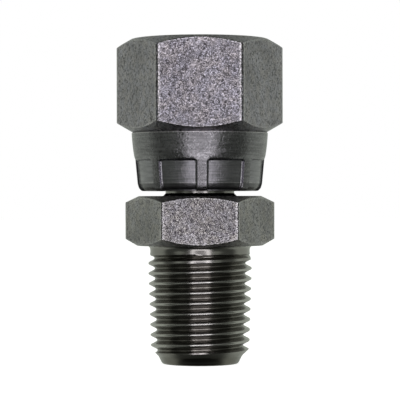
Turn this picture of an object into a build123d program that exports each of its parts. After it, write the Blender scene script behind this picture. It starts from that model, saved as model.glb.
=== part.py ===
from build123d import *
import os
from math import cos, pi, radians, tan

# A straight hydraulic test adapter: a turned hexagon body with a taper pipe thread
# at its foot, and a swivel nut that is crimped on behind the flange of its nose.
# Millimetres. Z is the axis, z = 0 is the end face of the taper thread, and a flat
# of each hexagon faces -Y.

# Taper thread at the foot, R 1/4: the shank is its crest cone
gauge_diameter = 13.157
gauge_height = 6.0
thread_taper = 1 / 16
lead_in_depth = 0.97
end_cone_height = 1.0
end_cone_drop = 0.52
threaded_length = 13.8
shank_diameter = 13.06
shank_length = 15.45

# Hexagon of the body, for a 17 mm spanner
body_across_flats = 17.0
body_hex_height = 6.48
body_upper_circle = 16.3
body_lower_circle = 16.5
body_edge_radius = 0.15

# Neck that shows below the nut
neck_diameter = 9.0
neck_flare = 0.45
nut_gap = 0.65

# Flow bore
bore_diameter = 6.0
bore_mouth_chamfer = 0.35

# Flange and 60 degree cone of the nose, inside the nut
flange_diameter = 13.6
flange_rim_height = 1.6
nose_base_diameter = 11.0
nose_tip_diameter = 7.2
nose_half_angle = 30.0

# Swivel nut, for a 19 mm spanner, with a G 1/4 thread in its mouth
nut_across_flats = 19.0
nut_length = 19.85
nut_upper_circle = 17.8
nut_edge_radius = 0.4
thread_major_diameter = 13.157
thread_minor_diameter = 11.445
thread_depth = 8.1
relief_length = 2.4
relief_clearance = 0.15
land_length = 1.0

# Skirt of the nut, closed in over the flange by eight crimping jaws
skirt_height = 7.68
skirt_wall = 1.97
skirt_bulge = 0.1
crimp_height = 4.12
crimp_overlap = 0.6
crimp_top_wall = 2.23
crimp_foot_wall = 1.92
foot_bevel_height = 0.48
foot_bevel_width = 0.13
foot_edge_height = 0.36
foot_edge_width = 0.35
jaw_count = 8
rib_turn = 2.0
rib_angle = 8.0
pocket_depth = 0.3
pocket_draft = 0.26
pocket_lift = 0.14
pocket_top_drop = 0.04
pocket_corner_chamfer = 0.35
lip_ledge = 0.3

# Clearances between the nut and the body
flange_clearance = 0.15
seat_clearance = 0.1
nose_clearance = 0.4
end_play = 0.3

# Edges
hex_chamfer_angle = 29.0

# Heights along the axis
body_hex_top = shank_length + body_hex_height
nut_bottom = body_hex_top + nut_gap
nut_top = nut_bottom + nut_length
skirt_top = nut_bottom + skirt_height
crimp_top = nut_bottom + crimp_height
thread_foot = nut_top - thread_depth
relief_foot = thread_foot - relief_length
seat_height = relief_foot - land_length
flange_top = seat_height - seat_clearance
flange_rim_foot = flange_top - flange_rim_height

# Radii that two pieces share
flange_radius = flange_diameter / 2
neck_radius = neck_diameter / 2
nose_radius = nose_base_diameter / 2
bore_radius = bore_diameter / 2
pocket_radius = flange_radius + flange_clearance
lip_radius = flange_radius - crimp_overlap
land_radius = nose_radius + nose_clearance
minor_radius = thread_minor_diameter / 2
relief_radius = thread_major_diameter / 2 + relief_clearance
skirt_radius = pocket_radius + skirt_wall
crimp_top_radius = lip_radius + crimp_top_wall
crimp_foot_radius = lip_radius + crimp_foot_wall


def corner_radius(across_flats, edge_radius):
    """Radius of a hexagon's rounded corners."""
    return across_flats / 2 / cos(pi / 6) - edge_radius * (1 / cos(pi / 6) - 1)


def hex_bar(across_flats, edge_radius, bottom, top):
    """A length of hexagon bar with rounded edges and a flat towards -Y."""
    with BuildPart() as bar:
        with BuildSketch(Plane.XY.offset(bottom)) as section:
            RegularPolygon(across_flats / 2, side_count=6, major_radius=False)
            fillet(section.vertices(), radius=edge_radius)
        extrude(amount=top - bottom)
    return bar.part


def turned(*outline):
    """A solid of revolution about the axis, from its outline in (radius, height)."""
    with BuildPart() as lathe:
        with BuildSketch(Plane.XZ):
            with BuildLine():
                Polyline(*outline, close=True)
            make_face()
        revolve(axis=Axis.Z)
    return lathe.part


def crest_radius(height):
    """Radius of the taper thread's crests at a height above its end face."""
    return (gauge_diameter + (height - gauge_height) * thread_taper) / 2


def cone_rise(outer_radius, inner_radius):
    """Height of a hexagon's end chamfer between two radii."""
    return (outer_radius - inner_radius) * tan(radians(hex_chamfer_angle))


# Body
nose_length = (nose_base_diameter - nose_tip_diameter) / 2 / tan(radians(nose_half_angle))
nose_top = flange_top + nose_length
body_corner = corner_radius(body_across_flats, body_edge_radius)
end_cone_radius = crest_radius(end_cone_height) - lead_in_depth
lead_in_top = end_cone_height + lead_in_depth
run_out = crest_radius(threaded_length) - shank_diameter / 2

with BuildPart() as adapter_body:
    add(hex_bar(body_across_flats, body_edge_radius, shank_length, body_hex_top))
    add(
        turned(
            (0, shank_length),
            (body_lower_circle / 2, shank_length),
            (body_corner, shank_length + cone_rise(body_corner, body_lower_circle / 2)),
            (body_corner, body_hex_top - cone_rise(body_corner, body_upper_circle / 2)),
            (body_upper_circle / 2, body_hex_top),
            (0, body_hex_top),
        ),
        mode=Mode.INTERSECT,
    )
    add(
        turned(
            (0, 0),
            (end_cone_radius - end_cone_drop, 0),
            (end_cone_radius, end_cone_height),
            (crest_radius(lead_in_top), lead_in_top),
            (crest_radius(threaded_length), threaded_length),
            (shank_diameter / 2, threaded_length + run_out),
            (shank_diameter / 2, shank_length),
            (0, shank_length),
        )
    )
    add(
        turned(
            (0, body_hex_top),
            (neck_radius + neck_flare, body_hex_top),
            (neck_radius, body_hex_top + neck_flare),
            (neck_radius, flange_rim_foot - (flange_radius - neck_radius)),
            (flange_radius, flange_rim_foot),
            (flange_radius, flange_top),
            (nose_radius, flange_top),
            (nose_tip_diameter / 2, nose_top),
            (0, nose_top),
        )
    )
    add(
        turned(
            (0, 0),
            (bore_radius + bore_mouth_chamfer, 0),
            (bore_radius, bore_mouth_chamfer),
            (bore_radius, nose_top - bore_mouth_chamfer),
            (bore_radius + bore_mouth_chamfer, nose_top),
            (0, nose_top),
        ),
        mode=Mode.SUBTRACT,
    )

adapter_body.part.label = "adapter_body"

# One crimping jaw, which presses a pocket with sloping walls into the skirt
jaw_angle = 360 / jaw_count
pocket_angle = jaw_angle - rib_angle
jaw_top = crimp_top - pocket_top_drop
jaw_foot = nut_bottom + pocket_lift
jaw_outer = skirt_radius + 1
floor_top_radius = crimp_top_radius - pocket_depth


def foot_points(radius, foot):
    """The outline of the skirt's turned foot, from its wall down to its end face."""
    return (
        (radius, nut_bottom + foot_edge_height + foot_bevel_height),
        (radius - foot_bevel_width, nut_bottom + foot_edge_height),
        (radius - foot_bevel_width - foot_edge_width, foot),
    )


with BuildPart() as crimping_jaw:
    with BuildSketch(Plane.XZ):
        with BuildLine():
            Polyline(
                (floor_top_radius, jaw_top),
                *foot_points(crimp_foot_radius - pocket_depth, jaw_foot),
                (lip_radius + lip_ledge, jaw_foot),
                (lip_radius + lip_ledge, nut_bottom - 1),
                (jaw_outer, nut_bottom - 1),
                (jaw_outer, jaw_top),
                close=True,
            )
        make_face()
    revolve(axis=Axis.Z, revolution_arc=pocket_angle)
    top_edges = crimping_jaw.edges().group_by(Axis.Z)[-1]
    chamfer(top_edges.filter_by(GeomType.LINE), length=pocket_corner_chamfer)
    floor = crimping_jaw.faces().filter_by(GeomType.CONE)
    side_edges = floor.edges().filter_by(lambda edge: abs((edge % 0.5).Z) > 0.1)
    top_edge = floor.edges().sort_by(Axis.Z)[-1]
    chamfer([*side_edges, top_edge], length=pocket_draft)

# Swivel nut
nut_corner = corner_radius(nut_across_flats, nut_edge_radius)
mouth_chamfer = (thread_major_diameter - thread_minor_diameter) / 2 + relief_clearance
hex_foot = skirt_top + cone_rise(nut_corner, skirt_radius)
skirt_middle_radius = (skirt_radius + crimp_top_radius) / 2 + skirt_bulge

with BuildPart() as swivel_nut:
    add(hex_bar(nut_across_flats, nut_edge_radius, skirt_top, nut_top))
    add(
        turned(
            (0, skirt_top),
            (skirt_radius, skirt_top),
            (nut_corner, hex_foot),
            (nut_corner, nut_top - cone_rise(nut_corner, nut_upper_circle / 2)),
            (nut_upper_circle / 2, nut_top),
            (0, nut_top),
        ),
        mode=Mode.INTERSECT,
    )
    with BuildSketch(Plane.XZ):
        with BuildLine():
            ThreePointArc(
                (skirt_radius, skirt_top),
                (skirt_middle_radius, (skirt_top + crimp_top) / 2),
                (crimp_top_radius, crimp_top),
            )
            Polyline(
                (crimp_top_radius, crimp_top),
                *foot_points(crimp_foot_radius, nut_bottom),
                (0, nut_bottom),
                (0, skirt_top),
                (skirt_radius, skirt_top),
            )
        make_face()
    revolve(axis=Axis.Z)
    with PolarLocations(0, jaw_count, start_angle=rib_turn - 90 + rib_angle / 2):
        add(crimping_jaw.part, mode=Mode.SUBTRACT)
    add(
        turned(
            (0, nut_bottom),
            (lip_radius, nut_bottom),
            (lip_radius, crimp_top),
            (pocket_radius, flange_rim_foot - end_play),
            (pocket_radius, seat_height),
            (land_radius, seat_height),
            (land_radius, relief_foot),
            (relief_radius, relief_foot),
            (relief_radius, thread_foot),
            (minor_radius, thread_foot),
            (minor_radius, nut_top - mouth_chamfer),
            (minor_radius + mouth_chamfer, nut_top),
            (0, nut_top),
        ),
        mode=Mode.SUBTRACT,
    )

swivel_nut.part.label = "swivel_nut"

os.makedirs("parts", exist_ok=True)
export_step(adapter_body.part, "parts/adapter_body.step")
export_step(swivel_nut.part, "parts/swivel_nut.step")
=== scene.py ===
from math import cos, hypot, pi, radians, sin, tan
from typing import NamedTuple

import bpy
import numpy as np
from bpy.props import FloatProperty, FloatVectorProperty, PointerProperty
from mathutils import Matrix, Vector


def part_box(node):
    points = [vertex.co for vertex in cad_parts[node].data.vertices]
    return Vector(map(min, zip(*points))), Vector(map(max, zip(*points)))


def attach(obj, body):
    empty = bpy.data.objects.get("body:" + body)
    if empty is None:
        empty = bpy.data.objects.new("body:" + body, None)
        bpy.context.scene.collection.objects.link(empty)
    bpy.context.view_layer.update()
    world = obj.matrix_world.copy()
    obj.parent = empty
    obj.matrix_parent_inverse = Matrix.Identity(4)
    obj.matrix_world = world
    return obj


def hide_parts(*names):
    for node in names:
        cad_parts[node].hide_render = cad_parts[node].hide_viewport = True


bl_info = {
    "name": "Hydraulic test adapter",
    "version": (1, 0, 0),
    "blender": (4, 5, 0),
    "location": "View3D > Sidebar > Test adapter",
    "description": "Threads, crimped swivel nut and plated finish of a hydraulic test adapter",
    "category": "Add Mesh",
}

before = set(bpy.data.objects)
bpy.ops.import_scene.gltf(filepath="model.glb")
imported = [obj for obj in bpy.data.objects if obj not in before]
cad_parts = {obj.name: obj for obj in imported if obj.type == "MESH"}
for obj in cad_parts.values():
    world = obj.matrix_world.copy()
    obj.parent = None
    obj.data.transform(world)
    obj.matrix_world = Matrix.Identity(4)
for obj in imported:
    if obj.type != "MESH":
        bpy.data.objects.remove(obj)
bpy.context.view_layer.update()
body_low, body_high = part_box("adapter_body")
nut_low, nut_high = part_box("swivel_nut")

MM = 0.001
INCH = 25.4 * MM

# Columns of vertices round the axis, on the outside and on the threads and bores
OUTER_COLUMNS = 720
TURNED_COLUMNS = 192

# A rounded edge takes up this share of a short face at most, and is held by a row beside it
EDGE_SHARE = 0.38
EDGE_HOLD = 0.3
EDGE_STEPS = 3
FILLET_STEPS = 6

# How far from a corner its rounding starts, from a fine edge to a well rounded one
LEDGE_EDGE = 0.03 * MM
FINE_EDGE = 0.05 * MM
TURNED_EDGE = 0.08 * MM
MILLED_EDGE = 0.1 * MM
LIP_EDGE = 0.12 * MM
FLANGE_EDGE = 0.15 * MM
CRIMP_EDGE = 0.2 * MM
MOUTH_EDGE = 0.25 * MM
ROUND_EDGE = 0.3 * MM

# How far a flat face reaches on from its edge, before the gap in it is filled
HEX_REACH = 0.5 * MM
COLLAR_REACH = 0.3 * MM
NECK_REACH = 0.4 * MM
LIP_REACH = 0.4 * MM
MOUTH_REACH = 0.8 * MM

# Half the angle of a hexagon's side, and how a flat rolls off before the rounded edge
HALF_SIDE = pi / 6
ROLL_WIDTH = 0.28 * MM
ROLL_ANGLE = radians(7)

# Vertices closer than this are merged, and faces that meet at less than this look smooth
MERGE_DISTANCE = 0.001 * MM
SMOOTH_ANGLE = radians(34)

# A 55 degree pipe thread: its depth and its rounding are shares of the pitch
FLANK_ANGLE = radians(27.5)
THREAD_DEPTH = 0.640327
THREAD_ROUNDING = 0.137329

# A row of vertices halfway up each crest and root, and turns to spare at both ends
ARC_MIDDLE = 0.52
SPARE_TURNS = 2

# The broken edge of the nut's mouth
MOUTH_BREAK = 0.1 * MM
BREAK_EDGE = 0.07 * MM

# Foot of the crimp from its end face up, as (radius, height) in millimetres
CRIMP_FOOT = (
    (7.0, 0.0), (7.35, 0.0), (7.56, 0.02), (7.68, 0.08), (7.76, 0.16), (7.86, 0.26),
    (7.94, 0.36), (8.01, 0.5), (8.05, 0.64), (8.1, 0.8), (8.13, 0.92), (8.15, 1.05),
)
CRIMP_ROWS = 34
SKIRT_ROWS = 12

# The crimping jaws, and the heights between which their lift of the foot fades out
JAW_COUNT = 8
LIFT_FADE = (0.3 * MM, 1.2 * MM)

# Radius of the skirt at shares of its height, from its top down to the crimp, in millimetres
SKIRT_SHARES = (0, 0.15, 0.26, 0.45, 0.64, 0.83, 0.93, 1)
SKIRT_RADII = (8.92, 8.89, 8.86, 8.80, 8.72, 8.62, 8.53, 8.44)

# Noises at the size of the grain, as (detail, roughness, distortion)
PLAIN_GRAIN = (2, 0.5, 0.4)
WIRY_GRAIN = (1, 0.5, 0.6)
PITTED_GRAIN = (1, 0.4, 1.2)

# Noises of a fixed size, as (waves to the metre, detail, roughness)
STAINS = (900, 4, 0.6)
SPECKS = (7000, 1, 0.5)
CLOUDS = (260, 4, 0.55)
SPOTS = (1500, 1, 0.5)
TOOL_MARKS = (5000, 3, 0.6)

# Ridges follow the middle value of the wiry noise, which is coarser, and stand on the plain grain
NOISE_MIDDLE = 0.5
RIDGE_WAVES = 0.62
RIDGE_WIDTH = 0.07
RIDGE_HEIGHT = 0.125
PLAIN_HEIGHT = 0.32

# How much a tool mark changes on its way round, as a share of its change along the axis
MARK_DRIFT = 0.06

# Strengths that are made of a noise or a mask, as (low, high, start, end)
PITTING = (1.0, 0.0, 0.36, 0.5)
SPOTTING = (0.0, 1.0, 0.72, 0.76)
STAINING = (0.0, 1.0, 0.4, 0.6)
CLOUDING = (0.76, 1.24, 0.3, 0.7)
DULLING = (0.85, 1.2, 0.3, 0.7)
WEARING = (0.3, 1.0, 0.35, 0.55)
BREAKING = (0.1, 0.6, 0.4, 0.6)
BRUSHING = (0.77, 1.23, 0.35, 0.65)
# The thread's crests are lighter: partly wear, partly a painted highlight
CREST_WEAR_AND_HIGHLIGHT = (1.0, 0.0, 0.03, 0.14)

# Values of the grain at which the skirt and the crimp are smoothest and dullest
SKIRT_MOTTLE = (0.38, 0.62)
CRIMP_MOTTLE = (0.4, 0.7)

# Wear of a flat along its long edges and its chamfers, and how near a surface counts as on it
CORNER_WEAR = 1.0
CONE_WEAR = 0.4
SKIN = 0.02 * MM

# How far below the ribs a pocket's floor starts and its wall ends, as shares of its depth
POCKET_FLOOR = 0.6
POCKET_EDGE = 0.04

# The nut's inside keeps within this distance of the lip's radius, as far up as the crimp goes
LIP_MARGIN = 0.5 * MM

# Painted highlight lines, as shares of their width: the gap over the upper one, the height of the lower
# one
HIGHLIGHT_GAP = 1 / 3
FOOT_HIGHLIGHT_HEIGHT = 0.6

# The photo's width in pixels, and its pixels to the millimetre at the axis
PHOTO_WIDTH = 400
PHOTO_SCALE = 7.64

# The stage, in metres: the floor and how it glows to the camera, the lamp, its net, the camera
WHITE = (1, 1, 1, 1)
FLOOR_COLOUR = (0.8, 0.8, 0.8, 1)
FLOOR_GLOW = 0.88
FLOOR_SIZE = 4
LAMP_COLOUR = (1, 0.97, 1.02)
LAMP_PLACE = (0.022, -0.62, 0.03)
NET_COLOUR = (0.26, 0.26, 0.26, 1)
NET_PLACE = (0.003, -0.31, 0.02)
NEAREST_SEEN = 0.01

# The room dims towards straight up and down, as (share left, start, end) of the way's steepness
CEILING = (0.14, 0.68, 0.9)

# Where the backdrop and the room behind the camera start and end, along Y
BACKDROP_EDGE = (-0.14, 0.12)
FRONT_EDGE = (-0.2, 0.1)

# Pale walls beside the lamp, as (turn from -Y, half width), with their bright core and their rise
SIDE_WALLS = ((radians(-48), radians(14)), (radians(39), radians(13)))
WALL_CORE = radians(5)
WALL_RISE = 0.12


def length(name, millimetres, description):
    """A size of the adapter that a user may change."""
    return FloatProperty(
        name=name,
        description=description,
        default=millimetres * MM,
        min=0,
        precision=5,
        unit="LENGTH",
    )


def angle(name, degrees, description):
    """An angle of the adapter that a user may change."""
    return FloatProperty(
        name=name,
        description=description,
        default=radians(degrees),
        precision=4,
        unit="ROTATION",
    )


def factor(name, value, description):
    """A share between 0 and 1 that a user may change."""
    return FloatProperty(
        name=name, description=description, default=value, min=0, max=1, precision=3, subtype="FACTOR"
    )


def colour(name, red, green, blue, description):
    """A colour of the finish that a user may change."""
    return FloatVectorProperty(
        name=name,
        description=description,
        default=(red, green, blue, 1),
        min=0,
        max=1,
        size=4,
        subtype="COLOR",
    )


class ThreadSizes(bpy.types.PropertyGroup):
    """Sizes of both pipe threads, which share their pitch and form."""

    pitch: FloatProperty(
        name="Pitch",
        description="Distance from crest to crest, 19 threads per inch",
        default=INCH / 19,
        precision=6,
        unit="LENGTH",
    )
    gauge_diameter: length("Gauge diameter", 13.157, "Crest diameter at the gauge plane")
    gauge_height: length("Gauge height", 6, "Height of the gauge plane above the end face")
    taper: FloatProperty(name="Taper", description="Taper on the diameter", default=1 / 16)
    crest_height: length("Crest height", 1.785, "Height of the male thread's first crest at +X")
    female_crest_height: length("Female crest height", 0.4, "The same above the female thread's foot")


class BodySizes(bpy.types.PropertyGroup):
    """Sizes of the adapter body."""

    shank_length: length("Shank length", 15.45, "From the end face to the hexagon")
    shank_radius: length("Shank radius", 6.51, "Plain shank above the thread")
    shank_taper: FloatProperty(
        name="Shank taper",
        description="Slope of the blank where the thread runs out",
        default=0.17,
    )
    run_out_foot: length("Run-out foot", 14.0, "Where the thread starts to fade into the shank")
    run_out_top: length("Run-out top", 14.6, "Where the thread ends")
    end_radius: length("End radius", 4.96, "Outer radius of the end face")
    end_cone_radius: length("End cone radius", 5.45, "Radius where the lead-in chamfer starts")
    end_cone_height: length("End cone height", 1, "Height where the lead-in chamfer starts")
    hex_gap: length("Gap under the nut", 0.65, "From the body's hexagon to the nut")
    hex_edge: length("Hexagon edge", 0.22, "Radius of the hexagon's long edges")
    upper_chamfer: angle("Upper chamfer", 25.5, "Slope of the hexagon's upper chamfer")
    lower_chamfer: angle("Lower chamfer", 30, "Slope of the hexagon's lower chamfer")
    upper_circle: length("Upper circle", 8.0, "Radius of the hexagon's upper face")
    lower_circle: length("Lower circle", 8.2, "Radius of the hexagon's lower face")
    neck_radius: length("Neck radius", 4.5, "Neck between the hexagon and the flange")
    neck_flare: length("Neck flare", 0.33, "Widening at the foot of the neck")
    shank_fillet: length("Shank fillet", 0.55, "Hollow between the shank and the hexagon")
    flange_radius: length("Flange radius", 6.8, "Flange inside the nut")
    flange_height: length("Flange height", 1.6, "Height of the flange's rim")
    nose_radius: length("Nose radius", 5.5, "Foot of the sealing cone")
    nose_tip_radius: length("Nose tip radius", 3.6, "Tip of the sealing cone")
    nose_angle: angle("Nose angle", 30, "Half angle of the sealing cone")
    bore_radius: length("Bore radius", 3, "Flow bore")
    bore_mouth: length("Bore mouth", 0.35, "Chamfer at both ends of the bore")


class NutSizes(bpy.types.PropertyGroup):
    """Sizes of the swivel nut."""

    skirt_height: length("Skirt height", 7.68, "From the nut's foot to its hexagon")
    crimp_height: length("Crimp height", 4.12, "From the nut's foot to the top of the crimp")
    hex_edge: length("Hexagon edge", 0.42, "Radius of the hexagon's long edges")
    chamfer: angle("Chamfer", 30, "Slope of the chamfers at the hexagon's ends")
    upper_circle: length("Upper circle", 8.9, "Radius of the nut's upper face")
    ledge: length("Ledge", 0.14, "How far the skirt stands out below the hexagon's chamfer")
    foot_height: length("Foot height", 0.98, "Height of the crimp's rolled foot")
    pocket_depth: length("Pocket depth", 0.3, "How far the jaws press the skirt in")
    pocket_wall: length("Pocket wall", 0.3, "Width of the sloping wall round a pocket")
    pocket_corner: length("Pocket corner", 0.5, "Radius of a pocket's upper corners")
    pocket_lift: length("Pocket lift", 0.14, "How far a jaw lifts the foot of the skirt")
    press_start: length("Press start", 7.3, "Radius of the foot where the jaws' print starts")
    press_full: length("Press full", 7.5, "Radius of the foot where it is at its full depth")
    rib_width: length("Rib width", 1.15, "Ridge that stands between two pockets")
    rib_turn: angle("Rib turn", -88, "Where the first ridge stands, from +X")
    lip_radius: length("Lip radius", 6.2, "Inside of the crimped lip")
    land_radius: length("Land radius", 5.9, "Land that bears on the flange")
    flange_pocket_radius: length("Flange pocket", 6.95, "Room for the flange")
    relief_radius: length("Relief radius", 6.7285, "Relief groove below the thread")
    thread_depth: length("Thread depth", 8.1, "From the mouth to the relief groove")
    relief_length: length("Relief length", 2.4, "Height of the relief groove")
    land_length: length("Land length", 1, "Height of the land")
    end_play: length("End play", 0.3, "Room below the flange, in which the nut can slide")


class FinishSettings(bpy.types.PropertyGroup):
    """Colours, grain and gloss of the plated steel, with its painted highlights and shade."""

    nut_cool: colour("Cool nut", 0.28, 0.271, 0.308, "The nut's flats where they are coolest")
    nut_warm: colour("Warm nut", 0.292, 0.273, 0.286, "The nut's flats where they are warmest")
    body_cool: colour("Cool body", 0.272, 0.264, 0.278, "The body's flats where they are coolest")
    body_warm: colour("Warm body", 0.281, 0.266, 0.257, "The body's flats where they are warmest")
    pits: colour("Pits", 0.092, 0.087, 0.096, "Colour in the pits of the grain")
    spots: colour("Spots", 0.09, 0.085, 0.09, "Colour of the few dark spots")
    body_turned: colour("Turned body", 0.305, 0.293, 0.281, "Colour of the body's turned faces")
    # Colour of the crests: partly wear, partly a painted highlight
    crest: colour("Thread crest", 0.4, 0.392, 0.376, "Colour of the thread's worn crests")
    root: colour("Thread root", 0.165, 0.157, 0.143, "Colour at the bottom of the thread")
    skirt: colour("Skirt", 0.203, 0.199, 0.209, "Colour of the nut's skirt and bores")
    crimp: colour("Crimp", 0.245, 0.241, 0.257, "Colour of the crimp that the jaws pressed")
    # Painted shade: the dark line round each pocket
    crease_shade: colour("Crease", 0.07, 0.066, 0.08, "Colour of the dark line round a pocket")
    # Painted shade: the dark colour of the crimp's rolled foot
    foot: colour("Foot", 0.12, 0.117, 0.125, "Colour of the crimp's rolled foot")
    # Colour of the flats' worn edges and of the painted highlight lines on the skirt
    wear_and_highlight: colour("Worn edge", 0.55, 0.535, 0.545, "Colour of the edges that are worn bright")
    # Width of the painted highlight bands on the skirt
    highlight_band_width: length("Worn band", 0.2, "Width of the worn bands on the skirt")
    wear_width: length("Wear width", 0.3, "Width of the wear along the edges of the flats")
    nut_grain: length("Nut grain", 0.3, "Size of the grain on the nut")
    body_grain: length("Body grain", 0.26, "Size of the grain on the body")
    grain_height: length("Grain height", 0.195, "Height of the grain")
    mark_height: length("Tool mark height", 0.0018, "Height of the lathe's tool marks")
    skirt_grain: factor("Skirt grain", 0.32, "Share of the grain's height on the skirt")
    body_turned_grain: factor("Turned grain", 0.035, "Share of the grain's height on turned faces")
    flat_roughness: factor("Flats", 0.12, "Roughness of the flats")
    chamfer_roughness: factor("Chamfers", 0.36, "Roughness of the hexagons' chamfers")
    turned_roughness: factor("Turned faces", 0.22, "Roughness of the body's turned faces")
    skirt_roughness: factor("Skirt", 0.22, "Roughness of the skirt where it is smoothest")
    crimp_roughness: factor("Crimp", 0.33, "Roughness of the crimp where it is smoothest")
    skirt_dullness: factor("Skirt dullness", 0.38, "Roughness of the skirt where it is dullest")
    # Roughness of the painted highlight bands on the skirt
    highlight_band_roughness: factor("Worn dullness", 0.42, "Roughness of the worn bands")


class StageSettings(bpy.types.PropertyGroup):
    """The camera, the lamp with its net, and the room."""

    camera_distance: length("Camera distance", 280, "From the camera to the axis")
    camera_height: length("Camera height", 21.405, "Above the end face")
    camera_shift: length("Camera offset", 0.013, "How far the camera stands to the right")
    picture_width: length("Picture width", PHOTO_WIDTH / PHOTO_SCALE, "Width of the view at the axis")
    roll: angle("Roll", 0.12, "Roll of the camera")
    lamp_width: length("Lamp width", 500, "Width of the soft lamp")
    lamp_height: length("Lamp height", 950, "Height of the soft lamp")
    lamp_power: FloatProperty(
        name="Lamp power", description="Power of the soft lamp", default=4.45, unit="POWER"
    )
    net_width: length("Net width", 142, "Width of the net that dims the lamp's middle")
    net_height: length("Net height", 200, "Height of the net that dims the lamp's middle")
    room_colour: colour("Room", 0.935, 1, 0.895, "Colour of the room that the metal mirrors")
    backdrop: factor("Backdrop", 0.615, "Brightness of the backdrop in the metal")
    front_room: factor("Front", 0.12, "Brightness of the room behind the camera")
    side_walls: factor("Side walls", 0.34, "Brightness of the walls beside the lamp")


def deselect_all():
    """Leaves nothing selected, so that an operator acts on its own piece alone."""
    if bpy.context.mode != "OBJECT":
        bpy.ops.object.mode_set(mode="OBJECT")
    bpy.ops.object.select_all(action="DESELECT")


def select_only(*pieces):
    """Selects some pieces, the last of them active."""
    deselect_all()
    for piece in pieces:
        piece.select_set(True)
        bpy.context.view_layer.objects.active = piece


def turn_angles(columns):
    """The angle of each column of vertices, with the first repeated at the end."""
    return np.linspace(0, 2 * pi, columns + 1)


def ring(angles, radius, height):
    """One row of vertices as an array of (radius, height), from numbers or from arrays."""
    return np.stack((radius + 0 * angles, height + 0 * angles), axis=1)


def eased(angles, corners):
    """Rows of an outline whose corners are rounded. A corner is (radius, height, ease), where
    ease is how far from the corner its rounding starts; with none the corner stays sharp."""
    points = [ring(angles, radius, height) for radius, height, ease in corners]
    rows = []
    for index, (radius, height, ease) in enumerate(corners):
        point = points[index]
        if not ease:
            rows.append(point)
            continue
        before = points[index - 1] - point
        after = points[index + 1] - point
        before_length = np.linalg.norm(before, axis=1, keepdims=True)
        after_length = np.linalg.norm(after, axis=1, keepdims=True)
        reach = np.minimum(ease, EDGE_SHARE * np.minimum(before_length, after_length))
        start = before / before_length * reach
        end = after / after_length * reach
        rows.append(point + start * (1 + EDGE_HOLD))
        for step in range(EDGE_STEPS + 1):
            share = step / EDGE_STEPS
            rows.append(point + (1 - share) ** 2 * start + share**2 * end)
        rows.append(point + end * (1 + EDGE_HOLD))
    return rows


def wrapped(name, angles, rows):
    """A grid primitive wrapped round the axis, with one ring of vertices for each row. The grid
    is 1 wide, so its vertices lie between -0.5 and 0.5 before they are moved."""
    deselect_all()
    bpy.ops.mesh.primitive_grid_add(
        x_subdivisions=len(angles) - 1, y_subdivisions=len(rows) - 1, size=1
    )
    piece = bpy.context.active_object
    piece.name = name
    places = np.empty(len(piece.data.vertices) * 3)
    piece.data.vertices.foreach_get("co", places)
    places = places.reshape(-1, 3)
    column = np.rint((places[:, 0] + 0.5) * (len(angles) - 1)).astype(int)
    row = np.rint((places[:, 1] + 0.5) * (len(rows) - 1)).astype(int)
    table = np.array(rows)[row, column]
    places[:, 0] = table[:, 0] * np.cos(angles[column])
    places[:, 1] = table[:, 0] * np.sin(angles[column])
    places[:, 2] = table[:, 1]
    piece.data.vertices.foreach_set("co", places.ravel())
    piece.data.update()
    return piece


def merge_doubles(piece):
    """Merges the vertices that lie on each other."""
    select_only(piece)
    bpy.ops.object.mode_set(mode="EDIT")
    bpy.ops.mesh.select_all(action="SELECT")
    bpy.ops.mesh.remove_doubles(threshold=MERGE_DISTANCE)
    bpy.ops.object.mode_set(mode="OBJECT")


def fill_flat_ring(piece, height):
    """Closes the flat ring between the two open edges that lie at one height."""
    select_only(piece)
    bpy.ops.object.mode_set(mode="EDIT")
    bpy.ops.mesh.select_mode(type="EDGE")
    bpy.ops.mesh.select_all(action="DESELECT")
    bpy.ops.mesh.select_non_manifold(
        extend=False, use_wire=False, use_multi_face=False, use_non_contiguous=False, use_verts=False
    )
    bpy.ops.object.mode_set(mode="OBJECT")
    vertices = piece.data.vertices
    for edge in piece.data.edges:
        if any(abs(vertices[end].co.z - height) > MERGE_DISTANCE for end in edge.vertices):
            edge.select = False
    bpy.ops.object.mode_set(mode="EDIT")
    bpy.ops.mesh.fill(use_beauty=True)
    bpy.ops.object.mode_set(mode="OBJECT")


def joined(name, parts, ring_heights):
    """Joins the parts of one piece, closes it and leaves its faces pointing outwards."""
    for part in parts:
        merge_doubles(part)
    select_only(*parts)
    bpy.ops.object.join()
    piece = bpy.context.active_object
    piece.name = name
    piece.data.name = name
    merge_doubles(piece)
    for height in ring_heights:
        fill_flat_ring(piece, height)
    select_only(piece)
    bpy.ops.object.mode_set(mode="EDIT")
    bpy.ops.mesh.select_all(action="SELECT")
    bpy.ops.mesh.normals_make_consistent(inside=False)
    bpy.ops.object.mode_set(mode="OBJECT")
    bpy.ops.object.shade_smooth_by_angle(angle=SMOOTH_ANGLE)
    return piece


class Hexagon(NamedTuple):
    """A hexagon with chamfered ends, which meet its end faces in two circles."""

    across_flats: float
    edge: float
    foot: float
    lower_circle: float
    lower_chamfer: float
    top: float
    upper_circle: float
    upper_chamfer: float


def body_hexagon(body):
    """The hexagon of the body, from the shank to the gap under the nut."""
    return Hexagon(
        across_flats=body_high.y - body_low.y,
        edge=body.hex_edge,
        foot=body_low.z + body.shank_length,
        lower_circle=body.lower_circle,
        lower_chamfer=body.lower_chamfer,
        top=nut_low.z - body.hex_gap,
        upper_circle=body.upper_circle,
        upper_chamfer=body.upper_chamfer,
    )


def nut_hexagon(nut):
    """The hexagon of the nut, from its skirt to its mouth."""
    return Hexagon(
        across_flats=nut_high.y - nut_low.y,
        edge=nut.hex_edge,
        foot=nut_low.z + nut.skirt_height,
        lower_circle=SKIRT_RADII[0] * MM - nut.ledge,
        lower_chamfer=nut.chamfer,
        top=nut_high.z,
        upper_circle=nut.upper_circle,
        upper_chamfer=nut.chamfer,
    )


def flat_end(hexagon):
    """How far from its middle a flat ends and the rounded edge starts."""
    return (hexagon.across_flats / 2 - hexagon.edge) * tan(HALF_SIDE)


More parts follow.
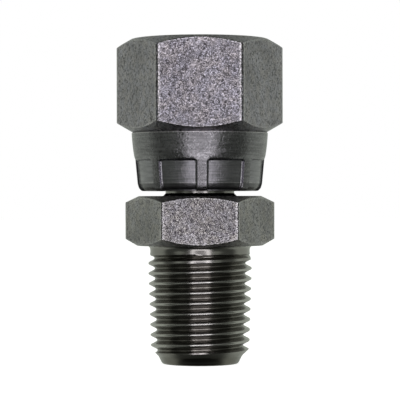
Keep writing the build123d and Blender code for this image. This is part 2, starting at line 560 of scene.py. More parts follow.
def hexagon_side(angles, hexagon):
    """Radius of a hexagon with rounded long edges, a flat of which faces -Y."""
    turn = (angles + pi / 2 + HALF_SIDE) % (2 * HALF_SIDE) - HALF_SIDE
    inner = hexagon.across_flats / 2
    flat = inner / np.cos(turn)
    centre = (inner - hexagon.edge) / cos(HALF_SIDE)
    swing = HALF_SIDE - np.abs(turn)
    edge_root = np.maximum(hexagon.edge**2 - (centre * np.sin(swing)) ** 2, 0)
    rounded = centre * np.cos(swing) + np.sqrt(edge_root)
    on_edge = np.abs(turn) > np.arctan2(flat_end(hexagon), inner)
    roll_start = flat_end(hexagon) - ROLL_WIDTH
    past = np.maximum(inner * np.tan(np.abs(turn)) - roll_start, 0)
    curved = np.minimum(past, ROLL_WIDTH)
    drop = tan(ROLL_ANGLE) * (curved**2 / (2 * ROLL_WIDTH) + past - curved)
    return np.where(on_edge, rounded, flat) - drop


def chamfer_heights(hexagon, side):
    """Heights where a hexagon's chamfers meet its sides."""
    lower = hexagon.foot + (side - hexagon.lower_circle) * tan(hexagon.lower_chamfer)
    upper = hexagon.top - (side - hexagon.upper_circle) * tan(hexagon.upper_chamfer)
    return lower, upper


def pipe_thread_depth(along, pitch):
    """Depth of a 55 degree pipe thread below its crest, at distances along the axis from the crest."""
    radius = THREAD_ROUNDING * pitch
    depth = THREAD_DEPTH * pitch
    arc = radius * cos(FLANK_ANGLE)
    crest_distance = np.abs((along + pitch / 2) % pitch - pitch / 2)
    root_distance = pitch / 2 - crest_distance
    crest = radius - np.sqrt(radius**2 - np.minimum(crest_distance, arc) ** 2)
    root = depth - radius + np.sqrt(radius**2 - np.minimum(root_distance, arc) ** 2)
    slope = radius * (1 - sin(FLANK_ANGLE)) + (crest_distance - arc) / tan(FLANK_ANGLE)
    return np.where(crest_distance < arc, crest, np.where(root_distance < arc, root, slope))


def thread_steps(pitch):
    """Places of the rows of vertices along one pitch, on crest, flanks and root."""
    arc = THREAD_ROUNDING * pitch * cos(FLANK_ANGLE)
    crest = (0, arc * ARC_MIDDLE, arc)
    flank_and_root = (pitch / 4, pitch / 2 - arc, pitch / 2 - arc * (1 - ARC_MIDDLE))
    half = (*crest, *flank_and_root)
    return (*half, *(pitch / 2 + place for place in half))


def helical_rows(angles, pitch, crest_height, foot, top, radius_at):
    """Rows that climb with a right-hand thread, cut off level at its foot and its top."""
    first = int((foot - crest_height) / pitch) - SPARE_TURNS
    last = int((top - crest_height) / pitch) + SPARE_TURNS
    climb = pitch * angles / (2 * pi)
    rows = []
    for turn in range(first, last):
        for step in thread_steps(pitch):
            height = np.clip(crest_height + turn * pitch + step + climb, foot, top)
            rows.append(ring(angles, radius_at(height, height - crest_height - climb), height))
    return rows


def smooth_step(value, start, end):
    """0 before start, 1 after end and a smooth curve between them."""
    part = np.clip((value - start) / (end - start), 0, 1)
    return part * part * (3 - 2 * part)


def threaded_shank(thread, body):
    """The male taper thread, from the end cone to the plain shank, as one helical skin."""

    def radius_at(height, along):
        crest = (thread.gauge_diameter + (height - thread.gauge_height) * thread.taper) / 2
        fade = 1 - smooth_step(height, body.run_out_foot, body.run_out_top)
        cut = crest - pipe_thread_depth(along, thread.pitch) * fade
        lead_in = body.end_cone_radius + height - body.end_cone_height
        shank = body.shank_radius + (body.run_out_top - height) * body.shank_taper
        return np.minimum(np.minimum(cut, lead_in), shank)

    angles = turn_angles(TURNED_COLUMNS)
    rows = helical_rows(
        angles, thread.pitch, thread.crest_height, body.end_cone_height, body.run_out_top, radius_at
    )
    return wrapped("shank", angles, rows)


def body_outside(hexagon):
    """The hexagon of the body with its chamfered ends."""
    angles = turn_angles(OUTER_COLUMNS)
    side = hexagon_side(angles, hexagon)
    lower, upper = chamfer_heights(hexagon, side)
    corners = [
        (hexagon.lower_circle - HEX_REACH, hexagon.foot, 0),
        (hexagon.lower_circle, hexagon.foot, TURNED_EDGE),
        (side, lower, TURNED_EDGE),
        (side, upper, TURNED_EDGE),
        (hexagon.upper_circle, hexagon.top, TURNED_EDGE),
        (hexagon.upper_circle - HEX_REACH, hexagon.top, 0),
    ]
    return wrapped("body_hexagon", angles, eased(angles, corners))


def collar(body, hexagon):
    """The plain shank above the thread, and the hollow between it and the hexagon."""
    angles = turn_angles(TURNED_COLUMNS)
    rows = [ring(angles, body.shank_radius, body.run_out_top)]
    for turn in np.linspace(0, pi / 2, FILLET_STEPS + 1):
        out = body.shank_fillet * (1 - cos(turn))
        up = body.shank_fillet * (1 - sin(turn))
        rows.append(ring(angles, body.shank_radius + out, hexagon.foot - up))
    rows.append(ring(angles, body.shank_radius + body.shank_fillet + COLLAR_REACH, hexagon.foot))
    return wrapped("collar", angles, rows)


def flange_top_height(body):
    """Height of the flange's rim, where the sealing cone starts."""
    return body_high.z - (body.nose_radius - body.nose_tip_radius) / tan(body.nose_angle)


def neck_and_bore(body, hexagon):
    """The neck, the flange, the nose, the bore and the end face, as one skin."""
    angles = turn_angles(TURNED_COLUMNS)
    flange_top = flange_top_height(body)
    flange_foot = flange_top - body.flange_height
    flange_rise = body.flange_radius - body.neck_radius
    nose_top = body_high.z
    bore = body.bore_radius
    mouth = body.bore_mouth
    flare = body.neck_flare
    corners = [
        (body.neck_radius + flare + NECK_REACH, hexagon.top, 0),
        (body.neck_radius + flare, hexagon.top, FINE_EDGE),
        (body.neck_radius, hexagon.top + flare, FINE_EDGE),
        (body.neck_radius, flange_foot - flange_rise, ROUND_EDGE),
        (body.flange_radius, flange_foot, FLANGE_EDGE),
        (body.flange_radius, flange_top, FLANGE_EDGE),
        (body.nose_radius, flange_top, MILLED_EDGE),
        (body.nose_tip_radius, nose_top, LIP_EDGE),
        (bore + mouth, nose_top, FINE_EDGE),
        (bore, nose_top - mouth, TURNED_EDGE),
        (bore, mouth, TURNED_EDGE),
        (bore + mouth, 0, TURNED_EDGE),
        (body.end_radius, 0, ROUND_EDGE),
        (body.end_cone_radius, body.end_cone_height, 0),
    ]
    return wrapped("neck_and_bore", angles, eased(angles, corners))


def pocket_press(angles, height, nut, crimp_radius, crimp_top):
    """How far the jaws have pressed in the skirt, from 0 on the ribs to 1 on a pocket's floor."""
    pocket_turn = 2 * pi / JAW_COUNT
    turn = (angles - nut.rib_turn) % pocket_turn - pocket_turn / 2
    half_width = (pocket_turn * crimp_radius - nut.rib_width) / 2
    across = np.abs(turn) * crimp_radius - (half_width - nut.pocket_corner)
    upward = height - (crimp_top - nut.pocket_corner) + 0 * angles
    outside = np.hypot(np.maximum(across, 0), np.maximum(upward, 0))
    distance = nut.pocket_corner - outside - np.minimum(np.maximum(across, upward), 0)
    return smooth_step(distance, 0, nut.pocket_wall)


def crimp_rows(angles, nut):
    """The foot of the nut up to the top of the crimp, with the jaws' pockets and their ribs."""
    foot = nut_low.z
    crimp_radius = SKIRT_RADII[-1] * MM
    outline = [(radius * MM, height * MM) for radius, height in CRIMP_FOOT]
    foot_radius, foot_height = outline[-1]
    heights = np.linspace(foot_height, nut.crimp_height, CRIMP_ROWS + 1)[1:]
    radii = np.interp(heights, (foot_height, nut.crimp_height), (foot_radius, crimp_radius))
    rows = []
    for radius, height in (*outline, *zip(radii, heights)):
        press = pocket_press(angles, foot + height, nut, crimp_radius, foot + nut.crimp_height)
        press *= smooth_step(radius, nut.press_start, nut.press_full)
        lift = nut.pocket_lift * press * (1 - smooth_step(height, *LIFT_FADE))
        rows.append(ring(angles, radius - nut.pocket_depth * press, foot + height + lift))
    return rows


def nut_outside(nut, hexagon):
    """The nut's hexagon, its skirt and the pockets of the crimp, as one skin."""
    angles = turn_angles(OUTER_COLUMNS)
    rows = crimp_rows(angles, nut)
    skirt_top = hexagon.foot
    crimp_top = nut_low.z + nut.crimp_height
    shares = np.linspace(1, 0, SKIRT_ROWS + 1)[1:-1]
    for drop, radius in zip(shares, np.interp(shares, SKIRT_SHARES, SKIRT_RADII)):
        rows.append(ring(angles, radius * MM, crimp_top + (1 - drop) * (skirt_top - crimp_top)))
    side = hexagon_side(angles, hexagon)
    lower, upper = chamfer_heights(hexagon, side)
    corners = [
        (SKIRT_RADII[1] * MM, skirt_top - HEX_REACH, 0),
        (SKIRT_RADII[0] * MM, skirt_top - nut.ledge, TURNED_EDGE),
        (hexagon.lower_circle, skirt_top, LEDGE_EDGE),
        (side, lower, MILLED_EDGE),
        (side, upper, MILLED_EDGE),
        (hexagon.upper_circle, hexagon.top, MOUTH_EDGE),
        (hexagon.upper_circle - HEX_REACH, hexagon.top, 0),
    ]
    rows.extend(eased(angles, corners)[1:])
    return wrapped("nut_outside", angles, rows)


def nut_mouth(nut):
    """The broken edge of the nut's mouth."""
    angles = turn_angles(TURNED_COLUMNS)
    corners = [
        (nut.relief_radius + MOUTH_REACH, nut_high.z, 0),
        (nut.relief_radius, nut_high.z, BREAK_EDGE),
        (nut.relief_radius - MOUTH_BREAK, nut_high.z - MOUTH_BREAK, 0),
    ]
    return wrapped("nut_mouth", angles, eased(angles, corners))


def nut_bore(nut, thread, pocket_foot):
    """The nut's thread, relief, land, flange pocket and crimped lip, as one skin."""
    angles = turn_angles(TURNED_COLUMNS)
    foot = nut_low.z
    top = nut_high.z
    thread_foot = top - nut.thread_depth
    relief_foot = thread_foot - nut.relief_length
    seat = relief_foot - nut.land_length
    minor = thread.gauge_diameter / 2 - THREAD_DEPTH * thread.pitch

    def radius_at(height, along):
        wall = minor + pipe_thread_depth(along, thread.pitch)
        return np.maximum(wall, nut.relief_radius - (top - height))

    corners = [
        (nut.relief_radius, thread_foot, 0),
        (nut.relief_radius, relief_foot, FLANGE_EDGE),
        (nut.land_radius, relief_foot, MILLED_EDGE),
        (nut.land_radius, seat, MILLED_EDGE),
        (nut.flange_pocket_radius, seat, MILLED_EDGE),
        (nut.flange_pocket_radius, pocket_foot, MILLED_EDGE),
        (nut.lip_radius, foot + nut.crimp_height, CRIMP_EDGE),
        (nut.lip_radius, foot, LIP_EDGE),
        (nut.lip_radius + LIP_REACH, foot, 0),
    ]
    crest_height = thread_foot + thread.female_crest_height
    thread_rows = helical_rows(
        angles, thread.pitch, crest_height, thread_foot, top - MOUTH_BREAK, radius_at
    )
    return wrapped("nut_bore", angles, [*reversed(eased(angles, corners)), *thread_rows])


def add_node(tree, kind, inputs=None, **settings):
    """A node with its settings, and its inputs linked or set."""
    node = tree.nodes.new(kind)
    for name, value in settings.items():
        setattr(node, name, value)
    for name, value in (inputs or {}).items():
        if isinstance(value, bpy.types.NodeSocket):
            tree.links.new(value, node.inputs[name])
        else:
            node.inputs[name].default_value = value
    return node


def output_of(tree, kind, inputs=None, **settings):
    """The first output of a new node, for kinds that need no other."""
    return add_node(tree, kind, inputs, **settings).outputs[0]


def maths(tree, operation, *values):
    """What an operation makes of some values."""
    return output_of(tree, "ShaderNodeMath", dict(enumerate(values)), operation=operation)


def vector_maths(tree, operation, *vectors):
    """The outputs, Vector and Value, of an operation on some vectors."""
    return add_node(tree, "ShaderNodeVectorMath", dict(enumerate(vectors)), operation=operation).outputs


def noise(tree, place, waves, detail, roughness, distortion=0.0):
    """A noise between 0 and 1, with so many waves to the metre."""
    return output_of(
        tree,
        "ShaderNodeTexNoise",
        {
            "Vector": place,
            "Scale": waves,
            "Detail": detail,
            "Roughness": roughness,
            "Distortion": distortion,
        },
    )


def scaled(tree, value, low, high, start=0.0, end=1.0, easing="LINEAR"):
    """A value brought from the range start to end into the range low to high."""
    return output_of(
        tree,
        "ShaderNodeMapRange",
        {0: value, 1: start, 2: end, 3: low, 4: high},
        interpolation_type=easing,
    )


def between(tree, value, low, high):
    """1 where a value lies between two limits, and 0 beyond them."""
    above = maths(tree, "GREATER_THAN", value, low)
    return maths(tree, "MULTIPLY", above, maths(tree, "LESS_THAN", value, high))


def mixed(tree, share, first, second):
    """A value between two others."""
    return output_of(tree, "ShaderNodeMix", {0: share, 2: first, 3: second}, data_type="FLOAT")


def blend(tree, share, first, second):
    """A colour between two others."""
    mix = add_node(tree, "ShaderNodeMix", {0: share, 6: first, 7: second}, data_type="RGBA")
    return mix.outputs[2]


def shaded(tree, paint, strength):
    """A colour made darker or lighter."""
    return output_of(tree, "ShaderNodeVectorMath", {0: paint, "Scale": strength}, operation="SCALE")


def link_all(tree, node, values):
    """Links named values to the inputs of a node."""
    for name, value in values.items():
        tree.links.new(value, node.inputs[name])


def group_with(name, numbers, results):
    """A node group that is given a place and some numbers: its tree, its inputs and its end."""
    group = bpy.data.node_groups.new(name, "ShaderNodeTree")
    group.interface.new_socket("Place", in_out="INPUT", socket_type="NodeSocketVector")
    for number in numbers:
        group.interface.new_socket(number, in_out="INPUT", socket_type="NodeSocketFloat")
    for result in results:
        group.interface.new_socket(result, in_out="OUTPUT", socket_type="NodeSocketFloat")
    return group, group.nodes.new("NodeGroupInput").outputs, group.nodes.new("NodeGroupOutput")


def group_node(tree, name, make, inputs):
    """The outputs of a node group that both materials share, made where it is first used."""
    group = bpy.data.node_groups.get(name) or make()
    return add_node(tree, "ShaderNodeGroup", inputs, node_tree=group).outputs


def grain_group():
    """The grain of etched and plated steel: a height for the bump, pits, spots and stains."""
    group, given, end = group_with(
        "plated_grain",
        ["Grain size"],
        ["Height", "Mottle", "Pits", "Tint", "Specks", "Clouds", "Spots"],
    )
    place = given["Place"]
    waves = maths(group, "DIVIDE", 1.0, given["Grain size"])
    plain = noise(group, place, waves, *PLAIN_GRAIN)
    wiry = noise(group, place, maths(group, "MULTIPLY", waves, RIDGE_WAVES), *WIRY_GRAIN)
    from_ridge = maths(group, "ABSOLUTE", maths(group, "SUBTRACT", wiry, NOISE_MIDDLE))
    ridge = scaled(group, from_ridge, RIDGE_HEIGHT, 0.0, 0.0, RIDGE_WIDTH)
    values = {
        "Height": maths(group, "MULTIPLY_ADD", plain, PLAIN_HEIGHT, ridge),
        "Mottle": plain,
        "Pits": scaled(group, noise(group, place, waves, *PITTED_GRAIN), *PITTING),
        "Tint": noise(group, place, *STAINS),
        "Specks": noise(group, place, *SPECKS),
        "Clouds": noise(group, place, *CLOUDS),
        "Spots": scaled(group, noise(group, place, *SPOTS), *SPOTTING),
    }
    link_all(group, end, values)
    return group


def axis_group():
    """Distance from the adapter's axis and height above its end face."""
    group, given, end = group_with("axis_place", [], ["Radius", "Height"])
    parts = add_node(group, "ShaderNodeSeparateXYZ", {0: given["Place"]}).outputs
    across = output_of(group, "ShaderNodeCombineXYZ", {0: parts["X"], 1: parts["Y"]})
    radius = vector_maths(group, "LENGTH", across)["Value"]
    link_all(group, end, {"Radius": radius, "Height": parts["Z"]})
    return group


def turned_group():
    """Tool marks of a lathe: fine rings that follow the axis, as a height for the bump."""
    group, given, end = group_with("turned_marks", [], ["Height"])
    axis = group_node(group, "axis_place", axis_group, {"Place": given["Place"]})
    ringed = maths(group, "ADD", axis["Radius"], axis["Height"])
    lifted = output_of(group, "ShaderNodeCombineXYZ", {2: ringed})
    round_axis = vector_maths(group, "MULTIPLY", given["Place"], (MARK_DRIFT, MARK_DRIFT, 0))
    place = vector_maths(group, "ADD", round_axis["Vector"], lifted)["Vector"]
    link_all(group, end, {"Height": noise(group, place, *TOOL_MARKS)})
    return group


def groove_group():
    """How deep a point lies in a thread whose crests follow a cone: 0 on a crest, 1 at a root."""
    group, given, end = group_with("thread_groove", ["Crest radius", "Crest slope", "Depth"], ["Groove"])
    axis = group_node(group, "axis_place", axis_group, {"Place": given["Place"]})
    crest = maths(group, "MULTIPLY_ADD", axis["Height"], given["Crest slope"], given["Crest radius"])
    below = maths(group, "SUBTRACT", crest, axis["Radius"])
    link_all(group, end, {"Groove": scaled(group, below, 0.0, 1.0, 0.0, given["Depth"])})
    return group


def hexagon_edges_group():
    """Where a chamfered hexagon is worn: 1 along the edges of its flats, and 1 on its chamfers."""
    lower_end = ["Foot", "Lower circle", "Lower slope"]
    upper_end = ["Top", "Upper circle", "Upper slope"]
    group, given, end = group_with(
        "hexagon_edges", ["Corner radius", *lower_end, *upper_end, "Width"], ["Wear", "Chamfer"]
    )
    axis = group_node(group, "axis_place", axis_group, {"Place": given["Place"]})
    radius = axis["Radius"]

    def inside_cone(from_end, circle, slope):
        beyond = maths(group, "SUBTRACT", radius, given[circle])
        return maths(group, "SUBTRACT", from_end, maths(group, "MULTIPLY", beyond, given[slope]))

    from_top = maths(group, "SUBTRACT", given["Top"], axis["Height"])
    from_foot = maths(group, "SUBTRACT", axis["Height"], given["Foot"])
    upper = inside_cone(from_top, "Upper circle", "Upper slope")
    lower = inside_cone(from_foot, "Lower circle", "Lower slope")
    from_cone = maths(group, "MINIMUM", upper, lower)
    # Near a rounded edge, the way along the flat is so many times the change in radius
    inward = maths(group, "SUBTRACT", given["Corner radius"], radius)
    from_corner = maths(group, "MULTIPLY", inward, 1 / sin(HALF_SIDE))
    from_edge = maths(group, "MINIMUM", from_cone, from_corner)
    corner_wear = scaled(group, from_corner, 0.0, CORNER_WEAR, given["Width"], 0.0)
    cone_wear = scaled(group, from_cone, 0.0, CONE_WEAR, given["Width"], 0.0)
    wear = maths(group, "MAXIMUM", corner_wear, cone_wear)
    on_flat = maths(group, "GREATER_THAN", from_edge, SKIN)
    on_cone = maths(group, "LESS_THAN", from_cone, SKIN)
    link_all(group, end, {"Wear": maths(group, "MULTIPLY", wear, on_flat), "Chamfer": on_cone})
    return group


class Steel(NamedTuple):
    """A metal material, and what its colours and bumps are worked out from."""

    material: bpy.types.Material
    tree: bpy.types.NodeTree
    place: bpy.types.NodeSocket
    height: bpy.types.NodeSocket
    grain: bpy.types.bpy_prop_collection
    marks: bpy.types.NodeSocket


def new_steel(name, grain_size):
    """A bare metal material, with the plating's grain at one size and the lathe's tool marks."""
    material = bpy.data.materials.new(name)
    material.use_nodes = True
    tree = material.node_tree
    tree.nodes["Principled BSDF"].inputs["Metallic"].default_value = 1
    place = add_node(tree, "ShaderNodeTexCoord").outputs["Object"]
    height = add_node(tree, "ShaderNodeSeparateXYZ", {0: place}).outputs["Z"]
    grain = group_node(tree, "plated_grain", grain_group, {"Place": place, "Grain size": grain_size})
    marks = group_node(tree, "turned_marks", turned_group, {"Place": place})["Height"]
    return Steel(material, tree, place, height, grain, marks)


def flats_colour(steel, finish, tones, wear):
    """Colour of the milled flats: stains, cloudy patches, pits, a few dark spots, worn edges."""
    tree = steel.tree
    grain = steel.grain
    stained = blend(tree, scaled(tree, grain["Tint"], *STAINING), *tones)
    cloudy = shaded(tree, stained, scaled(tree, grain["Clouds"], *CLOUDING))
    pitted = blend(tree, grain["Pits"], cloudy, finish.pits)
    spotted = blend(tree, grain["Spots"], pitted, finish.spots)
    wear_and_highlight = maths(tree, "MULTIPLY", wear, scaled(tree, grain["Specks"], *WEARING))
    return blend(tree, wear_and_highlight, spotted, finish.wear_and_highlight)


def finish_steel(steel, finish, hexagon, tones, turned_colour, turned_roughness, turned_grain):
    """Links the shader: the grainy flats of a hexagon in their two tones, and the turned faces."""
    tree = steel.tree
    edges = group_node(
        tree,
        "hexagon_edges",
        hexagon_edges_group,
        {
            "Place": steel.place,
            "Corner radius": hypot(hexagon.across_flats / 2, flat_end(hexagon)),
            "Foot": hexagon.foot,
            "Lower circle": hexagon.lower_circle,
            "Lower slope": tan(hexagon.lower_chamfer),
            "Top": hexagon.top,
            "Upper circle": hexagon.upper_circle,
            "Upper slope": tan(hexagon.upper_chamfer),
            "Width": finish.wear_width,
        },
    )
    flats = between(tree, steel.height, hexagon.foot, hexagon.top)
    flat_colour = flats_colour(steel, finish, tones, edges["Wear"])
    flat_roughness = scaled(tree, edges["Chamfer"], finish.flat_roughness, finish.chamfer_roughness)
    roughness = mixed(tree, flats, turned_roughness, flat_roughness)
    dulling = scaled(tree, steel.grain["Clouds"], *DULLING)
    share = scaled(tree, flats, turned_grain, 1.0)
    grain = {"Height": steel.grain["Height"], "Strength": share, "Distance": finish.grain_height}
    relief = output_of(tree, "ShaderNodeBump", grain)
    marks = {"Height": steel.marks, "Strength": 1.0, "Distance": finish.mark_height, "Normal": relief}
    values = {
        "Base Color": blend(tree, flats, turned_colour, flat_colour),
        "Roughness": maths(tree, "MULTIPLY", roughness, dulling),
        "Normal": output_of(tree, "ShaderNodeBump", marks),
    }
    link_all(tree, tree.nodes["Principled BSDF"], values)


def plated_body(finish, thread, hexagon):
    """The body's plating: grainy flats, bright turned faces and a thread with dark roots."""
    steel = new_steel("plated_body", finish.body_grain)
    tree = steel.tree
    groove = group_node(
        tree,
        "thread_groove",
        groove_group,
        {
            "Place": steel.place,
            "Crest radius": (thread.gauge_diameter - thread.gauge_height * thread.taper) / 2,
            "Crest slope": thread.taper / 2,
            "Depth": THREAD_DEPTH * thread.pitch,
        },
    )["Groove"]
    threaded = between(tree, steel.height, 0.0, hexagon.foot)
    # The thread is coloured darker towards its roots
    root_darkening = maths(tree, "MULTIPLY", groove, threaded)
    # The crests are painted lighter, partly as wear and partly as a painted highlight
    crest = maths(tree, "MULTIPLY", scaled(tree, groove, *CREST_WEAR_AND_HIGHLIGHT), threaded)
    root_darkened = blend(tree, root_darkening, finish.body_turned, finish.root)
    finish_steel(
        steel,
        finish,
        hexagon,
        (finish.body_cool, finish.body_warm),
        blend(tree, crest, root_darkened, finish.crest),
        finish.turned_roughness,
        finish.body_turned_grain,
    )
    return steel.material


def plated_nut(finish, nut, hexagon):
    """The nut's plating: grainy flats, a satin skirt and a duller crimp that the jaws pressed."""
    steel = new_steel("plated_nut", finish.nut_grain)
    tree = steel.tree
    height = steel.height
    foot = nut_low.z
    foot_edge = foot + nut.foot_height

    # Distance from the axis, with the lean of the crimp's outside taken off
    rib_radius, rib_height = (size * MM for size in CRIMP_FOOT[-1])
    lean = (SKIRT_RADII[-1] * MM - rib_radius) / (nut.crimp_height - rib_height)
    radius = group_node(tree, "axis_place", axis_group, {"Place": steel.place})["Radius"]
    cone = maths(tree, "MULTIPLY_ADD", height, lean, -lean * (foot + rib_height))
    wall = maths(tree, "SUBTRACT", radius, cone)

    # Floors and walls of the pockets
    inside_radius = nut.lip_radius + LIP_MARGIN
    floor_radius = rib_radius - POCKET_FLOOR * nut.pocket_depth
    edge_radius = rib_radius - POCKET_EDGE * nut.pocket_depth
    crimped = between(tree, height, foot, foot + nut.crimp_height)
    on_floor = between(tree, wall, inside_radius, floor_radius)
    on_wall = between(tree, wall, floor_radius, edge_radius)
    pressed = maths(tree, "MULTIPLY", crimped, on_floor)
    # Where the painted shade line runs, along each pocket's wall
    crease_shade_mask = maths(tree, "MULTIPLY", crimped, on_wall)

    # Painted highlights: bright lines under the hexagon and over the foot
    width = finish.highlight_band_width
    upper_highlight = between(tree, height, hexagon.foot - width, hexagon.foot - HIGHLIGHT_GAP * width)
    lower_highlight_band = between(tree, height, foot_edge, foot_edge + FOOT_HIGHLIGHT_HEIGHT * width)
    broken = scaled(tree, steel.grain["Tint"], *BREAKING)
    foot_highlight = maths(tree, "MULTIPLY", maths(tree, "MULTIPLY", lower_highlight_band, on_floor), broken)
    wear_and_highlight = maths(tree, "MAXIMUM", upper_highlight, foot_highlight)

    # Satin skirt, duller pockets with a painted shade line round each, and painted shade on the foot
    # below
    satin = blend(tree, pressed, finish.skirt, finish.crimp)
    brushed = shaded(tree, satin, scaled(tree, steel.marks, *BRUSHING))
    with_crease_shade = blend(tree, crease_shade_mask, brushed, finish.crease_shade)
    # Painted shade on the crimp's rolled foot
    rolled = between(tree, height, foot - SKIN, foot_edge)
    with_foot_shade = blend(tree, rolled, with_crease_shade, finish.foot)
    mottle = steel.grain["Mottle"]
    skirt_dull = scaled(tree, mottle, finish.skirt_roughness, finish.skirt_dullness, *SKIRT_MOTTLE)
    crimp_dull = scaled(tree, mottle, finish.crimp_roughness, finish.skirt_dullness, *CRIMP_MOTTLE)
    dull = mixed(tree, pressed, skirt_dull, crimp_dull)
    finish_steel(
        steel,
        finish,
        hexagon,
        (finish.nut_cool, finish.nut_warm),
        # The painted highlight lines go over the skirt's colour, with their own roughness
        blend(tree, wear_and_highlight, with_foot_shade, finish.wear_and_highlight),
        mixed(tree, wear_and_highlight, dull, finish.highlight_band_roughness),
        finish.skirt_grain,
    )
    return steel.material


def empty_material(name):
    """A material with nothing in its tree."""
    material = bpy.data.materials.new(name)
    material.use_nodes = True
    material.node_tree.nodes.clear()
    return material, material.node_tree


def floor_material():
    """A pale floor with the adapter's soft shadow. The metal mirrors the room through it, because
    the photo's adapter hangs in an even light that no floor cuts off."""
    material, tree = empty_material("pale_floor")
    seen = add_node(tree, "ShaderNodeLightPath").outputs
    plain = output_of(tree, "ShaderNodeBsdfDiffuse", {"Color": FLOOR_COLOUR})
    glow = maths(tree, "MULTIPLY", seen["Is Camera Ray"], FLOOR_GLOW)
    white = output_of(tree, "ShaderNodeEmission", {"Strength": glow})
    floor = output_of(tree, "ShaderNodeAddShader", {0: plain, 1: white})
    gap = output_of(tree, "ShaderNodeBsdfTransparent")
    both = output_of(tree, "ShaderNodeMixShader", {0: seen["Is Glossy Ray"], 1: floor, 2: gap})
    add_node(tree, "ShaderNodeOutputMaterial", {"Surface": both})
    return material


def net_material():
    """A half-clear net in front of the lamp, whose highlights in the photo have a dark core. The
    camera doesn't see it."""
    material, tree = empty_material("lamp_net")
    seen = add_node(tree, "ShaderNodeLightPath").outputs["Is Camera Ray"]
    mesh = output_of(tree, "ShaderNodeBsdfTransparent", {"Color": blend(tree, seen, NET_COLOUR, WHITE)})
    add_node(tree, "ShaderNodeOutputMaterial", {"Surface": mesh})
    return material


def studio_world(stage):
    """A white backdrop behind the adapter and a dim room in front, by direction, with a soft
    pale wall on each side of the lamp."""
    world = bpy.data.worlds.new("studio")
    world.use_nodes = True
    tree = world.node_tree
    tree.nodes.clear()
    way = add_node(tree, "ShaderNodeTexCoord").outputs["Generated"]
    parts = add_node(tree, "ShaderNodeSeparateXYZ", {0: way}).outputs
    steep = maths(tree, "ABSOLUTE", parts["Z"])
    level = scaled(tree, steep, 1.0, *CEILING, "SMOOTHSTEP")
    behind = scaled(tree, parts["Y"], 0.0, stage.backdrop, *BACKDROP_EDGE, "SMOOTHSTEP")
    in_front = scaled(tree, parts["Y"], stage.front_room, 0.0, *FRONT_EDGE, "SMOOTHSTEP")
    room = maths(tree, "ADD", behind, in_front)
    for side, width in SIDE_WALLS:
        aim = (sin(side), -cos(side), WALL_RISE)
        near = vector_maths(tree, "DOT_PRODUCT", way, aim)["Value"]
        wall = scaled(tree, near, 0.0, stage.side_walls, cos(width), cos(WALL_CORE), "SMOOTHSTEP")
        room = maths(tree, "ADD", room, wall)
    strength = maths(tree, "MULTIPLY", room, level)
    lit = output_of(tree, "ShaderNodeBackground", {"Color": stage.room_colour, "Strength": strength})
    white = output_of(tree, "ShaderNodeBackground", {"Color": WHITE, "Strength": 1.0})
    seen = add_node(tree, "ShaderNodeLightPath").outputs["Is Camera Ray"]
    both = output_of(tree, "ShaderNodeMixShader", {0: seen, 1: lit, 2: white})
    add_node(tree, "ShaderNodeOutputWorld", {"Surface": both})
    return world


def named_plane(name, material, **settings):
    """A plane with a name and a material, for the stage."""
    bpy.ops.mesh.primitive_plane_add(**settings)
    plane = bpy.context.active_object
    plane.name = name
    plane.data.materials.append(material)
    return plane


class TESTADAPTER_OT_make_body(bpy.types.Operator):
    """Models the body: the taper thread, the hexagon, the neck, the nose and the bore"""

    bl_idname = "test_adapter.make_body"
    bl_label = "Make the body"

    def execute(self, context):
        thread = context.scene.test_adapter_thread
        body = context.scene.test_adapter_body
        finish = context.scene.test_adapter_finish
        hexagon = body_hexagon(body)
        parts = [
            threaded_shank(thread, body),
            body_outside(hexagon),
            collar(body, hexagon),
            neck_and_bore(body, hexagon),
        ]
        piece = joined("threaded_body", parts, (hexagon.foot, hexagon.top))
        piece.data.materials.append(plated_body(finish, thread, hexagon))
        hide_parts("adapter_body")
        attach(piece, "body")
        return {"FINISHED"}


class TESTADAPTER_OT_make_nut(bpy.types.Operator):
    """Models the swivel nut: its hexagon, crimped skirt, thread and bore"""

    bl_idname = "test_adapter.make_nut"
    bl_label = "Make the swivel nut"

    def execute(self, context):
        thread = context.scene.test_adapter_thread
        body = context.scene.test_adapter_body
        nut = context.scene.test_adapter_nut
        finish = context.scene.test_adapter_finish
        hexagon = nut_hexagon(nut)
        pocket_foot = flange_top_height(body) - body.flange_height - nut.end_play
        parts = [
            nut_outside(nut, hexagon),
            nut_mouth(nut),
            nut_bore(nut, thread, pocket_foot),
        ]
        piece = joined("crimped_swivel_nut", parts, (nut_low.z, nut_high.z))
        piece.data.materials.append(plated_nut(finish, nut, hexagon))
        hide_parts("swivel_nut")
        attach(piece, "nut")
        return {"FINISHED"}


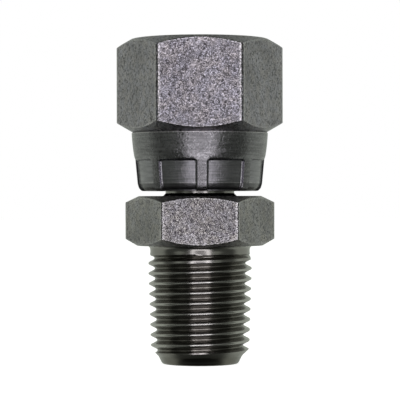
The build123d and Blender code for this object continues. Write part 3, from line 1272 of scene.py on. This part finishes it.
class TESTADAPTER_OT_make_stage(bpy.types.Operator):
    """Sets up the floor, the lamp with its net, the room and the camera"""

    bl_idname = "test_adapter.make_stage"
    bl_label = "Make the stage"

    def execute(self, context):
        stage = context.scene.test_adapter_stage
        upright = (radians(90), 0, 0)
        deselect_all()
        floor = named_plane("floor", floor_material(), size=FLOOR_SIZE, location=(0, 0, body_low.z))
        bpy.ops.object.light_add(type="AREA", location=LAMP_PLACE, rotation=upright)
        lamp = context.active_object
        lamp.name = "front_softbox"
        lamp.data.shape = "RECTANGLE"
        lamp.data.size = stage.lamp_width
        lamp.data.size_y = stage.lamp_height
        lamp.data.energy = stage.lamp_power
        lamp.data.color = LAMP_COLOUR
        net = named_plane("lamp_net", net_material(), size=1, location=NET_PLACE, rotation=upright)
        net.scale = (stage.net_width, stage.net_height, 1)
        context.scene.world = studio_world(stage)
        bpy.ops.object.camera_add(
            location=(stage.camera_shift, -stage.camera_distance, stage.camera_height),
            rotation=(radians(90), stage.roll, 0),
        )
        camera = context.active_object
        camera.data.lens = camera.data.sensor_width * stage.camera_distance / stage.picture_width
        camera.data.clip_start = NEAREST_SEEN
        context.scene.camera = camera
        context.scene.view_settings.view_transform = "Standard"
        return {"FINISHED"}


class TESTADAPTER_PT_panel(bpy.types.Panel):
    """Lists the steps in the sidebar"""

    bl_label = "Test adapter"
    bl_idname = "TESTADAPTER_PT_panel"
    bl_space_type = "VIEW_3D"
    bl_region_type = "UI"
    bl_category = "Test adapter"

    def draw(self, context):
        for step in STEPS:
            self.layout.operator(step.bl_idname)


STEPS = (TESTADAPTER_OT_make_body, TESTADAPTER_OT_make_nut, TESTADAPTER_OT_make_stage)
SETTINGS = {
    "test_adapter_thread": ThreadSizes,
    "test_adapter_body": BodySizes,
    "test_adapter_nut": NutSizes,
    "test_adapter_finish": FinishSettings,
    "test_adapter_stage": StageSettings,
}


def register():
    """Registers the settings, the steps and the panel."""
    for name, group in SETTINGS.items():
        bpy.utils.register_class(group)
        setattr(bpy.types.Scene, name, PointerProperty(type=group))
    for step in (*STEPS, TESTADAPTER_PT_panel):
        bpy.utils.register_class(step)


def unregister():
    """Takes back what register did."""
    for step in (*STEPS, TESTADAPTER_PT_panel):
        bpy.utils.unregister_class(step)
    for name, group in SETTINGS.items():
        delattr(bpy.types.Scene, name)
        bpy.utils.unregister_class(group)


def main():
    """Builds the adapter and its stage."""
    register()
    bpy.ops.test_adapter.make_body()
    bpy.ops.test_adapter.make_nut()
    bpy.ops.test_adapter.make_stage()


if __name__ == "__main__":
    main()
